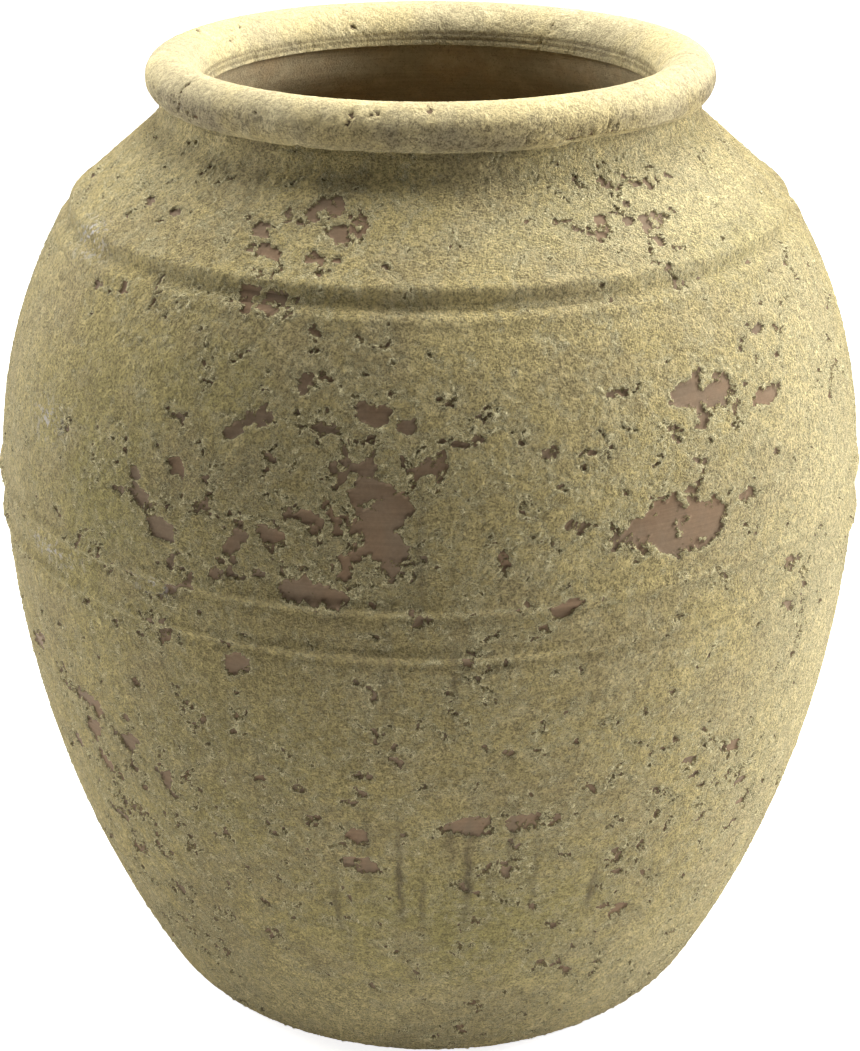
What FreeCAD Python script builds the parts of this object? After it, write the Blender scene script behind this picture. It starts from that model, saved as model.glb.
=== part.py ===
"""A large round-bellied earthenware storage jar, built up from thrown rings that are luted end to end.

The origin is the centre of the foot and +Z is up. Every piece is turned about the Z axis, so each is one
profile, drawn on the body's XZ plane and revolved. The jar's finished outline is:

- a belly of two circle arcs that meet upright at the widest point, one below it and one above it,
- a straight shoulder from the edge of the upper arc to the neck, which curves out to meet it,
- a rolled rim that is half round outside and flares into the mouth inside.

The coat's outer face is that outline. The clay's outer face lies inside it by the coat's thickness, and the
clay's inner face by the coat and the wall, so a profile is this outline at a given depth.
"""

import FreeCAD, Part
import math
import os
import Sketcher

DIMENSIONS = {
    "overall_height": 446.0,  # foot to the crest of the rim
    "foot_radius": 121.5,  # of the flat that the jar stands on
    "floor_height": 16.0,  # thickness of the base slab
    "belly_radius": 200.2,  # finished radius at the widest point
    "belly_height": 256.0,
    "lower_curve": 505.0,  # finished radius of the arc below the widest point
    "upper_curve": 228.0,  # finished radius of the arc above it
    "wall": 13.0,  # clay thickness
    "coat": 1.5,  # thickness of the coat on the clay
    "coat_foot": 4.0,  # the coat stops this far above the ground
    "ring_below": 20.0,  # outer lower edge of the belly ring, below the widest point
    "ring_above": 10.0,  # outer upper edge of the belly ring, above the widest point
    "ridge_below": 15.5,  # lower turned ridge, below the widest point
    "ridge_above": 5.0,  # upper turned ridge, above the widest point
    "ridge_proud": 1.2,
    "ridge_half": 2.4,  # half of a ridge's width
    "edge_drop": 62.6,  # crest of the rim down to the edge between belly and shoulder
    "groove_drop": 6.4,  # edge down to the bottom of the turned groove
    "groove_half": 4.0,  # groove's bottom down to its lower lip
    "groove_depth": 1.8,
    "shoulder_below": 19.4,  # outer lower edge of the shoulder ring, below the edge
    "shoulder_above": 7.6,  # outer upper edge of the shoulder ring, above the edge
    "lute_bevel": 5.0,  # rise of a seam from the outer face to the inner face
    "neck_radius": 119.5,  # finished radius where the neck meets the rim
    "neck_curve": 18.0,  # finished radius of the neck's hollow curve
    "rim_radius": 126.8,  # finished
    "rim_curve": 10.5,  # finished radius of the rim's outer round
    "rim_overhang": 1.7,  # how far the rim's underside stands out from the neck, finished
    "throat_height": 3.0,  # upright stretch of the throat below the rim's flare
}

BELLY = "dims.belly_height"
RING_LOW = "(dims.belly_height - dims.ring_below)"
RING_HIGH = "(dims.belly_height + dims.ring_above)"
EDGE = "(dims.overall_height - dims.edge_drop)"
GROOVE = f"({EDGE} - dims.groove_drop)"
SHOULDER_LOW = f"({EDGE} - dims.shoulder_below)"
SHOULDER_HIGH = f"({EDGE} + dims.shoulder_above)"
RIM_CENTRE = "(dims.rim_radius - dims.rim_curve)"
BROW = "(dims.overall_height - dims.rim_curve)"
TUCK_OUT = f"((dims.neck_radius + dims.rim_overhang - {RIM_CENTRE}) / dims.rim_curve)"
TUCK_DOWN = f"sqrt(1 - {TUCK_OUT}^2)"  # with TUCK_OUT, the direction in which the rim's round ends
RIM_SEAT = f"({BROW} - (dims.rim_curve - dims.coat) * {TUCK_DOWN})"
FLARE_CURVE = f"(dims.overall_height - dims.throat_height - {RIM_SEAT})"
COAT = "dims.coat"
WALL = "(dims.coat + dims.wall)"
BARE = "0"


# ---- the finished outline at a depth, as expressions over the sheet ----

def on_lower(depth, height):
    """Radius at a height of the face that lies a depth inside the arc below the widest point."""
    drop = f"(dims.belly_height - {height})"
    return f"dims.belly_radius - dims.lower_curve + sqrt((dims.lower_curve - {depth})^2 - {drop}^2)"


def on_upper(depth, height):
    """Radius at a height of the face that lies a depth inside the arc above the widest point."""
    rise = f"({height} - dims.belly_height)"
    return f"dims.belly_radius - dims.upper_curve + sqrt((dims.upper_curve - {depth})^2 - {rise}^2)"


EDGE_RADIUS = f"({on_upper(BARE, EDGE)})"
NECK_CENTRE = "(dims.neck_radius + dims.neck_curve)"
NECK_RISE = f"({RIM_SEAT} - {EDGE})"
NECK_REACH = f"sqrt(({EDGE_RADIUS} - {NECK_CENTRE})^2 + {NECK_RISE}^2)"
SLOPE = (
    f"(atan2({NECK_RISE}; {EDGE_RADIUS} - {NECK_CENTRE})"
    f" - asin(dims.neck_curve / {NECK_REACH}))"
)  # of the shoulder above the horizontal: it touches the neck's curve


def on_shoulder(depth, height):
    """Radius at a height of the face that lies a depth inside the straight shoulder."""
    return f"{EDGE_RADIUS} - ({height} - {EDGE}) / tan({SLOPE}) - {depth} / sin({SLOPE})"


def neck_foot(depth):
    """Where the shoulder runs into the neck's curve, at a depth."""
    reach = f"(dims.neck_curve + {depth})"
    return f"{NECK_CENTRE} - {reach} * sin({SLOPE})", f"{RIM_SEAT} - {reach} * cos({SLOPE})"


HEEL_TOP = f"({on_lower(COAT, 'dims.floor_height')})"
HEEL_OUTWARD = f"(({HEEL_TOP} - dims.belly_radius + dims.lower_curve) / (dims.lower_curve - dims.coat))"
HEEL_DOWNWARD = "((dims.belly_height - dims.floor_height) / (dims.lower_curve - dims.coat))"
HEEL_REACH = f"({HEEL_TOP} - dims.foot_radius)"
HEEL_CURVE = (
    f"(({HEEL_REACH}^2 + dims.floor_height^2)"
    f" / (2 * ({HEEL_REACH} * {HEEL_OUTWARD} - dims.floor_height * {HEEL_DOWNWARD})))"
)  # of the clay: it leaves the lower arc smoothly at the slab's top and ends at the foot's edge


def on_heel(growth, height):
    """Radius at a height of the face that lies a growth outside the clay's rounded heel."""
    centre_out = f"({HEEL_TOP} - {HEEL_CURVE} * {HEEL_OUTWARD})"
    centre_up = f"(dims.floor_height + {HEEL_CURVE} * {HEEL_DOWNWARD})"
    return f"{centre_out} + sqrt(({HEEL_CURVE} + {growth})^2 - ({centre_up} - {height})^2)"


# ---- sketching ----

def value(sketch, text):
    """The number that an expression has now."""
    result = sketch.evalExpression(text)
    return float(getattr(result, "Value", result))


def arc_between(start, end, radius, left):
    """The short arc from start to end that turns left or right."""
    chord = end - start
    side = FreeCAD.Vector(-chord.y, chord.x, 0).normalize()
    reach = math.sqrt(radius**2 - (chord.Length / 2) ** 2)
    centre = (start + end) * 0.5 + side * (reach if left else -reach)
    first, last = (start, end) if left else (end, start)
    circle = Part.Circle(centre, FreeCAD.Vector(0, 0, 1), radius)
    from_angle = math.atan2(first.y - centre.y, first.x - centre.x)
    to_angle = math.atan2(last.y - centre.y, last.x - centre.x)
    return Part.ArcOfCircle(circle, from_angle, to_angle)


def bind(sketch, constraint, name, text):
    """Adds a named constraint whose value follows an expression."""
    index = sketch.addConstraint(constraint)
    sketch.renameConstraint(index, name)
    sketch.setExpression(f"Constraints.{name}", text)


def place_end(sketch, side, point, name, out, up):
    """Sets one end of a side at a radius and a height."""
    if out == BARE:
        sketch.addConstraint(Sketcher.Constraint("PointOnObject", side, point, -2))
    else:
        there = Sketcher.Constraint("DistanceX", -1, 1, side, point, value(sketch, out))
        bind(sketch, there, f"{name}_out", out)
    if up == BARE:
        sketch.addConstraint(Sketcher.Constraint("PointOnObject", side, point, -1))
    else:
        there = Sketcher.Constraint("DistanceY", -1, 1, side, point, value(sketch, up))
        bind(sketch, there, f"{name}_up", up)


def profile(body, corners):
    """A closed outline, counter-clockwise, on the body's XZ plane.

    Each corner is (radius, height, bend). The side that leads to it is straight where bend is None. Otherwise
    it is an arc of the radius bend[0], which turns to the side bend[1].
    """
    sketch = body.newObject("Sketcher::SketchObject", body.Label + "_profile")
    plane = next(p for p in body.Origin.OriginFeatures if p.Role == "XZ_Plane")
    sketch.AttachmentSupport = [(plane, "")]
    sketch.MapMode = "FlatFace"
    points = [FreeCAD.Vector(value(sketch, out), value(sketch, up), 0) for out, up, _ in corners]
    ends = []
    for number, (out, up, bend) in enumerate(corners):
        start, end = points[number - 1], points[number]
        if bend is None:
            side = sketch.addGeometry(Part.LineSegment(start, end), False)
            first, last = 1, 2
        else:
            left = bend[1] == "left"
            side = sketch.addGeometry(arc_between(start, end, value(sketch, bend[0]), left), False)
            first, last = (1, 2) if left else (2, 1)
        ends.append((side, first, last))
    for number, (side, first, _) in enumerate(ends):
        before, _, before_last = ends[number - 1]
        sketch.addConstraint(Sketcher.Constraint("Coincident", before, before_last, side, first))
    for number, (out, up, bend) in enumerate(corners):
        side, _, last = ends[number]
        place_end(sketch, side, last, f"corner{number}", out, up)
        if bend is not None:
            radius = Sketcher.Constraint("Radius", side, value(sketch, bend[0]))
            bind(sketch, radius, f"bend{number}", bend[0])
    return sketch


def turned(doc, name, corners):
    """A piece whose profile is turned once round the Z axis."""
    body = doc.addObject("PartDesign::Body", name)
    body.Label = name
    sketch = profile(body, corners)
    turn = body.newObject("PartDesign::Revolution", name + "_turned")
    turn.Profile = sketch
    turn.ReferenceAxis = (sketch, ["V_Axis"])
    turn.Angle = 360
    body.Placement = FreeCAD.Placement()
    return body


# ---- stretches of the outline, as corners ----

def reverse(corners):
    """The same corners met the other way round, so that each bend moves to the other end of its side."""
    opposite = {"left": "right", "right": "left"}
    bends = [bend and (bend[0], opposite[bend[1]]) for _, _, bend in corners[1:]] + [None]
    return [(out, up, bend) for (out, up, _), bend in zip(corners[::-1], bends[::-1])]


def lower_bend(depth, turn):
    return f"dims.lower_curve - {depth}", turn


def upper_bend(depth, turn):
    return f"dims.upper_curve - {depth}", turn


def ridge(face, bend, depth, height):
    """A low ridge on one of the belly's arcs, from below it to above it."""
    low = f"({height} - dims.ridge_half)"
    high = f"({height} + dims.ridge_half)"
    return [
        (face(depth, low), low, bend(depth, "left")),
        (face(f"({depth} - dims.ridge_proud)", height), height, None),
        (face(depth, high), high, None),
    ]


def belly_lines(depth):
    """The two ridges and the widest point between them."""
    return [
        *ridge(on_lower, lower_bend, depth, "(dims.belly_height - dims.ridge_below)"),
        (f"dims.belly_radius - {depth}", BELLY, lower_bend(depth, "left")),
        *ridge(on_upper, upper_bend, depth, "(dims.belly_height + dims.ridge_above)"),
    ]


def groove_and_edge(depth):
    """The turned groove below the shoulder and the edge above it."""
    lip = f"({GROOVE} - dims.groove_half)"
    sunk = f"({depth} + dims.groove_depth)"
    edge_out = on_upper(depth, EDGE)
    return [
        (on_upper(depth, lip), lip, upper_bend(depth, "left")),
        (on_upper(sunk, GROOVE), GROOVE, None),
        (edge_out, EDGE, None),
    ]


def neck_top(depth):
    return f"dims.neck_radius - {depth}", RIM_SEAT, (f"dims.neck_curve + {depth}", "right")


# ---- the pieces ----

def base_slab(doc):
    """The beaten disc that the jar is built on, with its rounded heel."""
    foot = ("dims.foot_radius", BARE, None)
    heel = (on_lower(COAT, "dims.floor_height"), "dims.floor_height", (HEEL_CURVE, "left"))
    middle = (BARE, "dims.floor_height", None)
    return turned(doc, "base_slab", [(BARE, BARE, None), foot, heel, middle])


def lower_wall(doc):
    """The ring from the slab up to the belly ring."""
    seam_in = f"({RING_LOW} + dims.lute_bevel)"
    return turned(doc, "lower_wall", [
        (on_lower(WALL, "dims.floor_height"), "dims.floor_height", lower_bend(WALL, "right")),
        (on_lower(COAT, "dims.floor_height"), "dims.floor_height", None),
        (on_lower(COAT, RING_LOW), RING_LOW, lower_bend(COAT, "left")),
        (on_lower(WALL, seam_in), seam_in, None),
    ])


def belly_ring(doc):
    """The ring that joins the two halves at the widest point, with its two turned ridges."""
    low_in = f"({RING_LOW} + dims.lute_bevel)"
    high_in = f"({RING_HIGH} + dims.lute_bevel)"
    return turned(doc, "belly_ring", [
        (on_lower(WALL, low_in), low_in, lower_bend(WALL, "right")),
        (on_lower(COAT, RING_LOW), RING_LOW, None),
        *belly_lines(COAT),
        (on_upper(COAT, RING_HIGH), RING_HIGH, upper_bend(COAT, "left")),
        (on_upper(WALL, high_in), high_in, None),
        (f"dims.belly_radius - {WALL}", BELLY, upper_bend(WALL, "right")),
    ])


def upper_wall(doc):
    """The ring from the belly ring up to the shoulder ring."""
    low_in = f"({RING_HIGH} + dims.lute_bevel)"
    high_in = f"({SHOULDER_LOW} + dims.lute_bevel)"
    return turned(doc, "upper_wall", [
        (on_upper(WALL, low_in), low_in, upper_bend(WALL, "right")),
        (on_upper(COAT, RING_HIGH), RING_HIGH, None),
        (on_upper(COAT, SHOULDER_LOW), SHOULDER_LOW, upper_bend(COAT, "left")),
        (on_upper(WALL, high_in), high_in, None),
    ])


def shoulder_seam():
    """The upper seam of the shoulder ring, square to the wall: its outer end, then its inner end."""
    out = on_shoulder(COAT, SHOULDER_HIGH)
    inner = f"{out} - dims.wall * sin({SLOPE})", f"{SHOULDER_HIGH} - dims.wall * cos({SLOPE})"
    return (out, SHOULDER_HIGH), inner


def shoulder_ring(doc):
    """The ring that turns the wall in to the shoulder, with the groove and the edge."""
    low_in = f"({SHOULDER_LOW} + dims.lute_bevel)"
    seam_out, seam_in = shoulder_seam()
    return turned(doc, "shoulder_ring", [
        (on_upper(WALL, low_in), low_in, None),
        (on_upper(COAT, SHOULDER_LOW), SHOULDER_LOW, None),
        *groove_and_edge(COAT),
        (*seam_out, None),
        (*seam_in, None),
    ])


def shoulder_wall(doc):
    """The straight shoulder."""
    seam_out, seam_in = shoulder_seam()
    return turned(doc, "shoulder_wall", [
        (*seam_in, None),
        (*seam_out, None),
        (*neck_foot(COAT), None),
        (*neck_foot(WALL), None),
    ])


def neck_collar(doc):
    """The short neck, which curves from the shoulder up to the rim."""
    return turned(doc, "neck_collar", [
        (*neck_foot(WALL), (f"dims.neck_curve + {WALL}", "left")),
        (*neck_foot(COAT), None),
        neck_top(COAT),
        (f"dims.neck_radius - {WALL}", RIM_SEAT, None),
    ])


def rim_section(depth):
    """Corners of the rim's round, from the neck's top over the crest and down the flare to the throat."""
    outer = f"(dims.rim_curve - {depth})"
    flare = f"({FLARE_CURVE} - {depth})"
    return [
        (f"{RIM_CENTRE} + {outer} * {TUCK_OUT}", f"{BROW} - {outer} * {TUCK_DOWN}", None),
        (f"{RIM_CENTRE} + {outer}", BROW, (outer, "left")),
        (RIM_CENTRE, f"dims.overall_height - {depth}", (outer, "left")),
        (f"{RIM_CENTRE} - {flare}", f"{RIM_SEAT} + dims.throat_height", (flare, "left")),
    ]


def throat_foot(depth):
    """The lower end of the throat, on the neck's top."""
    return f"{RIM_CENTRE} - ({FLARE_CURVE} - {depth})", RIM_SEAT, None


def rim_roll(doc):
    """The rolled coil that forms the lip of the mouth."""
    return turned(doc, "rim_roll", [throat_foot(COAT), *rim_section(COAT)])


def rim_coat(doc):
    """The finer coat over the whole rim."""
    outside = [*rim_section(BARE), throat_foot(BARE)]
    inside = [*rim_section(COAT), throat_foot(COAT)]
    return turned(doc, "rim_coat", [*outside, *reverse(inside)])


def body_coat(doc):
    """The coat on the outside, from just above the ground to the neck's top."""
    heel_top = f"(dims.floor_height - dims.coat * {HEEL_DOWNWARD})"
    outside = [
        (on_heel(COAT, "dims.coat_foot"), "dims.coat_foot", None),
        (on_lower(BARE, heel_top), heel_top, (f"{HEEL_CURVE} + dims.coat", "left")),
        *belly_lines(BARE),
        *groove_and_edge(BARE),
        (*neck_foot(BARE), None),
        neck_top(BARE),
    ]
    inside = [
        (on_heel(BARE, "dims.coat_foot"), "dims.coat_foot", None),
        (HEEL_TOP, "dims.floor_height", (HEEL_CURVE, "left")),
        *belly_lines(COAT),
        *groove_and_edge(COAT),
        (*neck_foot(COAT), None),
        neck_top(COAT),
    ]
    return turned(doc, "body_coat", [*outside, *reverse(inside)])


PIECES = [
    base_slab,
    lower_wall,
    belly_ring,
    upper_wall,
    shoulder_ring,
    shoulder_wall,
    neck_collar,
    rim_roll,
    body_coat,
    rim_coat,
]


def check(doc, bodies):
    """Raises if anything in the document failed, or a piece isn't one good solid."""
    for item in doc.Objects:
        if "Invalid" in item.State or "Error" in item.State:
            raise RuntimeError(f"{item.Name} failed: {item.State}")
    for body in bodies:
        shape = body.Shape
        if shape.isNull() or not shape.isValid() or len(shape.Solids) != 1:
            raise RuntimeError(f"{body.Label} is not one valid solid")


def main():
    doc = FreeCAD.newDocument("storage_jar")
    sheet = doc.addObject("Spreadsheet::Sheet", "dims")
    for row, (alias, number) in enumerate(DIMENSIONS.items(), start=1):
        sheet.set(f"A{row}", alias)
        sheet.set(f"B{row}", str(number))
        sheet.setAlias(f"B{row}", alias)
    doc.recompute()
    bodies = [build(doc) for build in PIECES]
    doc.recompute()
    check(doc, bodies)
    os.makedirs("parts", exist_ok=True)
    for body in bodies:
        body.Shape.exportStep(f"parts/{body.Label}.step")
        print(f"{body.Label}: {body.Shape.Volume / 1000:.1f} cm3")


main()
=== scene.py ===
"""Looks of a large earthenware storage jar: its flaking coat, its bare clay rings and a pale studio."""

import math

import bmesh
import bpy
import numpy as np
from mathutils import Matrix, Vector


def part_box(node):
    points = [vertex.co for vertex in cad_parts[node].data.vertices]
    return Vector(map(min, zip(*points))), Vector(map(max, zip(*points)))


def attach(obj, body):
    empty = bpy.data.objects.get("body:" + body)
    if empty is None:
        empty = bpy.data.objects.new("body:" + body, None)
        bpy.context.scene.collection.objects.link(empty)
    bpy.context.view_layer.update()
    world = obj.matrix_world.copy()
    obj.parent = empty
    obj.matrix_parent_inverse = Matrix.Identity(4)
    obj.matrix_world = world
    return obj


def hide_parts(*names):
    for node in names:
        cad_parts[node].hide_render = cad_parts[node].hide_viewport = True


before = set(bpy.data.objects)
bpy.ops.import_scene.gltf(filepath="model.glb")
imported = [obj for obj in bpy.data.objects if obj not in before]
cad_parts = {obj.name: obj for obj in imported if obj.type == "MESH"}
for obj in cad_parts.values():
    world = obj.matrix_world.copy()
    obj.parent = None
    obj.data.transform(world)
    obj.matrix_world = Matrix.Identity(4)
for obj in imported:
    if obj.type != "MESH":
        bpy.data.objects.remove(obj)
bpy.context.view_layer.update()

bl_info = {
    "name": "Storage Jar",
    "version": (1, 0, 0),
    "blender": (4, 5, 0),
    "location": "3D View > Sidebar > Jar",
    "description": "Builds a coated earthenware jar around its fixed frame",
    "category": "Add Mesh",
}

JAR_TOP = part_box("rim_coat")[1].z
RIM_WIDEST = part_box("rim_coat")[1].x
FLOOR_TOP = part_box("base_slab")[1].z
COAT_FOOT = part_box("body_coat")[0].z
RIM_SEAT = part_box("neck_collar")[1].z
MM = 0.001
TURN = 2 * math.pi
LOWER, UPPER = -1, 1


# ---- settings ----

def length(name, description, default):
    return bpy.props.FloatProperty(name=name, description=description, default=default, unit="LENGTH")


def colour(name, description, default):
    return bpy.props.FloatVectorProperty(
        name=name, description=description, default=default, size=3, subtype="COLOR", min=0, max=1
    )


def factor(name, description, default):
    return bpy.props.FloatProperty(
        name=name, description=description, default=default, min=0, max=1, subtype="FACTOR"
    )


class JarSizes(bpy.types.PropertyGroup):
    """Sizes of the finished jar"""

    belly_radius: length("Belly Radius", "Radius at the widest point", 0.2002)
    belly_height: length("Belly Height", "Height of the widest point", 0.256)
    lower_curve: length("Lower Curve", "Radius of the arc below the widest point", 0.505)
    upper_curve: length("Upper Curve", "Radius of the arc above the widest point", 0.228)
    foot_radius: length("Foot Radius", "Radius of the flat that the jar stands on", 0.1215)
    edge_drop: length("Edge Drop", "Crest of the rim down to the shoulder's edge", 0.0626)
    neck_radius: length("Neck Radius", "Radius where the neck meets the rim", 0.1195)
    neck_curve: length("Neck Curve", "Radius of the neck's hollow curve", 0.018)
    rim_curve: length("Rim Curve", "Radius of the rim's outer round", 0.0105)
    flare_curve: length("Flare Curve", "Radius of the rim's inner flare", 0.01545)
    wall: length("Wall", "Thickness of the clay", 0.013)
    coat: length("Coat", "Thickness of the coat", 0.0015)


class JarDetail(bpy.types.PropertyGroup):
    """How finely the jar is built and how worn it is"""

    spacing: length("Spacing", "Distance between the coat's points", 0.00095)
    columns: bpy.props.IntProperty(
        name="Columns", description="Points round the coat", default=1280, min=64
    )
    coat_rings: bpy.props.IntProperty(
        name="Coat Rings", description="Pieces that the body's coat is split into", default=8, min=1
    )
    ridge: length("Ridge", "Height of the belly's turned ridges", 0.0019)
    groove: length("Groove", "Depth of the groove under the shoulder's edge", 0.0019)
    wobble: length("Wobble", "How far the hand-turned body is out of true", 0.0007)
    grain: length("Grain", "Height of the coat's coarse grain", 0.0005)
    lip: length("Lip", "How far the edges of the flakes curl up", 0.0008)


class JarColours(bpy.types.PropertyGroup):
    """Colours of the coat and the clay"""

    straw: colour("Straw", "Main colour of the coat", (0.55, 0.445, 0.195))
    sand: colour("Sand", "Greyer parts of the coat", (0.465, 0.375, 0.18))
    # Pale coat tone in the mottle, also used as the tint of the painted highlight on the lit sides, the shoulders and
    # the rim's top.
    pale_and_highlight: colour("Chalk", "Curled edges and crests of the coat", (0.82, 0.71, 0.41))
    lip: colour("Lip", "Broken edges of the flakes", (0.95, 0.85, 0.50))
    undercoat: colour("Undercoat", "First coat, where only the top one has gone", (0.30, 0.24, 0.112))
    clay: colour("Clay", "Bare fired clay", (0.20, 0.142, 0.088))
    moss: colour("Moss", "Green tint of damp places", (0.32, 0.285, 0.095))
    salt: colour("Salt", "White bloom of salts", (0.78, 0.74, 0.72))
    rim: colour("Rim", "The rim's smoother wash", (0.33, 0.275, 0.16))
    inside: colour("Inside", "Clay inside the jar", (0.46, 0.375, 0.225))
    floor: colour("Floor", "Studio floor", (0.86, 0.86, 0.86))


# ---- the finished outline ----

def arc(centre, radius, start, end, step=0.2 * MM):
    """Points on an arc of the outline, from one angle above level to another."""
    count = max(3, int(abs(end - start) * radius / step))
    angle = np.linspace(start, end, count)
    return np.c_[centre[0] + radius * np.cos(angle), centre[1] + radius * np.sin(angle)]


def shoulder_slope(sizes):
    """Angle above level of the straight shoulder, which touches the neck's curve."""
    edge = np.array(edge_point(sizes))
    across = edge[0] - (sizes.neck_radius + sizes.neck_curve)
    rise = RIM_SEAT - edge[1]
    return math.atan2(rise, across) - math.asin(sizes.neck_curve / math.hypot(across, rise))


def edge_point(sizes):
    """Radius and height of the edge between belly and shoulder."""
    height = JAR_TOP - sizes.edge_drop
    reach = math.sqrt(sizes.upper_curve**2 - (height - sizes.belly_height) ** 2)
    return sizes.belly_radius - sizes.upper_curve + reach, height


def belly_centre(sizes, part):
    curve = sizes.lower_curve if part == LOWER else sizes.upper_curve
    return sizes.belly_radius - curve, sizes.belly_height


def heel_arc(sizes, growth, low):
    """The rounded heel, a growth outside the clay, from a height up to the lower arc."""
    centre = belly_centre(sizes, LOWER)
    reach = sizes.lower_curve - sizes.coat
    down = (sizes.belly_height - FLOOR_TOP) / reach
    out = math.sqrt(1 - down**2)
    top = centre[0] + reach * out
    across = top - sizes.foot_radius
    curve = (across**2 + FLOOR_TOP**2) / (2 * (across * out - FLOOR_TOP * down))
    middle = top - curve * out, FLOOR_TOP + curve * down
    radius = curve + growth
    return arc(middle, radius, math.asin((low - middle[1]) / radius), -math.asin(down))


def neck_arc(sizes, depth):
    """The neck's hollow curve at a depth, from the shoulder up to the rim."""
    centre = sizes.neck_radius + sizes.neck_curve, RIM_SEAT
    slope = shoulder_slope(sizes)
    return arc(centre, sizes.neck_curve + depth, -math.pi / 2 - slope, -math.pi)


def body_outline(sizes):
    """The finished outside from the coat's foot to the rim's seat."""
    heel = heel_arc(sizes, sizes.coat, COAT_FOOT)
    down = math.asin((sizes.belly_height - FLOOR_TOP) / (sizes.lower_curve - sizes.coat))
    lower = arc(belly_centre(sizes, LOWER), sizes.lower_curve, -down, 0)
    edge = edge_point(sizes)
    rise = math.asin((edge[1] - sizes.belly_height) / sizes.upper_curve)
    upper = arc(belly_centre(sizes, UPPER), sizes.upper_curve, 0, rise)
    return np.vstack([heel, lower[1:], upper[1:], neck_arc(sizes, 0)])


def rim_outline(sizes):
    """The finished rim from its tucked underside over the crest to the throat's foot."""
    centre = RIM_WIDEST - sizes.rim_curve
    brow = JAR_TOP - sizes.rim_curve
    outer = arc((centre, brow), sizes.rim_curve, -math.radians(62), math.pi / 2)
    throat = JAR_TOP - sizes.flare_curve
    flare = arc((centre, throat), sizes.flare_curve, math.pi / 2, math.pi)
    foot = centre - sizes.flare_curve, RIM_SEAT
    return np.vstack([outer, flare[1:], [foot]])


def inner_outline(sizes):
    """The clay's inside from the neck's top down to the middle of the floor."""
    depth = sizes.wall + sizes.coat
    neck = neck_arc(sizes, depth)[::-1]
    edge = edge_point(sizes)
    rise = math.asin((edge[1] - 14.4 * MM - sizes.belly_height) / (sizes.upper_curve - depth))
    upper = arc(belly_centre(sizes, UPPER), sizes.upper_curve - depth, rise, 0)
    reach = sizes.lower_curve - depth
    down = math.asin((sizes.belly_height - FLOOR_TOP) / reach)
    lower = arc(belly_centre(sizes, LOWER), reach, 0, -down)
    return np.vstack([neck, upper, lower[1:], [(0, FLOOR_TOP)]])


def spaced(points, spacing, soften=0.0):
    """The outline at an even spacing, its corners rounded over a length."""
    run = np.r_[0, np.cumsum(np.hypot(*np.diff(points, axis=0).T))]
    fine = np.linspace(0, run[-1], int(run[-1] / (0.2 * MM)) + 1)
    line = np.c_[np.interp(fine, run, points[:, 0]), np.interp(fine, run, points[:, 1])]
    if soften:
        reach = int(2 * soften / (0.2 * MM))
        weights = np.exp(-0.5 * (np.arange(-reach, reach + 1) * 0.2 * MM / soften) ** 2)
        weights /= weights.sum()
        ends = np.vstack([2 * line[0] - line[reach:0:-1], line, 2 * line[-1] - line[-2:-reach - 2:-1]])
        line = np.c_[[np.convolve(ends[:, k], weights, "valid") for k in (0, 1)]].T
    count = max(2, int(round(run[-1] / spacing)) + 1)
    along = np.linspace(0, run[-1], count)
    line = np.c_[np.interp(along, fine, line[:, 0]), np.interp(along, fine, line[:, 1])]
    return line, along


def outward(line):
    """Unit directions out of a line that is met with the solid on its left."""
    step = np.gradient(line, axis=0)
    step /= np.linalg.norm(step, axis=1)[:, None]
    return np.c_[step[:, 1], -step[:, 0]]


# ---- meshes ----

def turned_grid(line, columns):
    """Points of a line turned about Z, row by row, and the azimuth of each column."""
    azimuth = np.arange(columns) * TURN / columns - math.pi
    out = np.c_[np.sin(azimuth), -np.cos(azimuth)]
    points = np.empty((len(line), columns, 3))
    points[..., :2] = line[:, None, :1] * out[None]
    points[..., 2] = line[:, 1:2]
    return points, azimuth


def grid_faces(rows, columns, closed):
    """Quads of a turned grid that joins up round Z, and also from last row to first where closed."""
    row = np.arange(rows if closed else rows - 1)[:, None]
    column = np.arange(columns)[None]
    above, beside = (row + 1) % rows, (column + 1) % columns
    corners = (row, column), (row, beside), (above, beside), (above, column)
    return np.stack([r * columns + c for r, c in corners], -1).reshape(-1, 4)


def make_mesh(name, points, faces):
    """A mesh object of quads, as quickly as possible."""
    mesh = bpy.data.meshes.new(name)
    mesh.vertices.add(len(points))
    mesh.vertices.foreach_set("co", points.astype(np.float32).ravel())
    mesh.loops.add(faces.size)
    mesh.loops.foreach_set("vertex_index", faces.ravel().astype(np.int32))
    mesh.polygons.add(len(faces))
    mesh.polygons.foreach_set("loop_start", np.arange(0, faces.size, 4, dtype=np.int32))
    mesh.update(calc_edges=True)
    mesh.validate()
    mesh.shade_smooth()
    piece = bpy.data.objects.new(name, mesh)
    bpy.context.scene.collection.objects.link(piece)
    return piece


def write(mesh, name, values):
    """Stores one number or one vector for each point of a mesh."""
    values = np.asarray(values, np.float32)
    kind, key = ("FLOAT_VECTOR", "vector") if values.shape[-1] == 3 and values.ndim > 1 else ("FLOAT", "value")
    mesh.attributes.new(name, kind, "POINT").data.foreach_set(key, values.ravel())


def strips(mesh, columns, along):
    """A UV map that lays a ring out as stacked strips, each a stretch of its girth. Along has a value more than rows."""
    run = np.asarray(along) - along[0]
    points = np.empty(len(mesh.vertices) * 3, np.float32)
    mesh.vertices.foreach_get("co", points)
    girth = math.pi * np.ptp(points[::3])
    count = max(1, round(math.sqrt(girth / run[-1])))
    face = np.arange(len(mesh.polygons))[:, None]
    row = face // columns + np.array([[0, 0, 1, 1]])
    first = face % columns
    column = first + np.array([[0, 1, 1, 0]])
    strip = first * count // columns
    margin = 0.012
    across = margin + (column * count / columns - strip) * (1 - 2 * margin)
    up = (strip + margin + run[row] / run[-1] * (1 - 2 * margin)) / count
    layer = mesh.uv_layers.new(name="OFBake")
    layer.uv.foreach_set("vector", np.stack([across, up], -1).astype(np.float32).ravel())


# ---- what has happened to the surface ----

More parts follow.
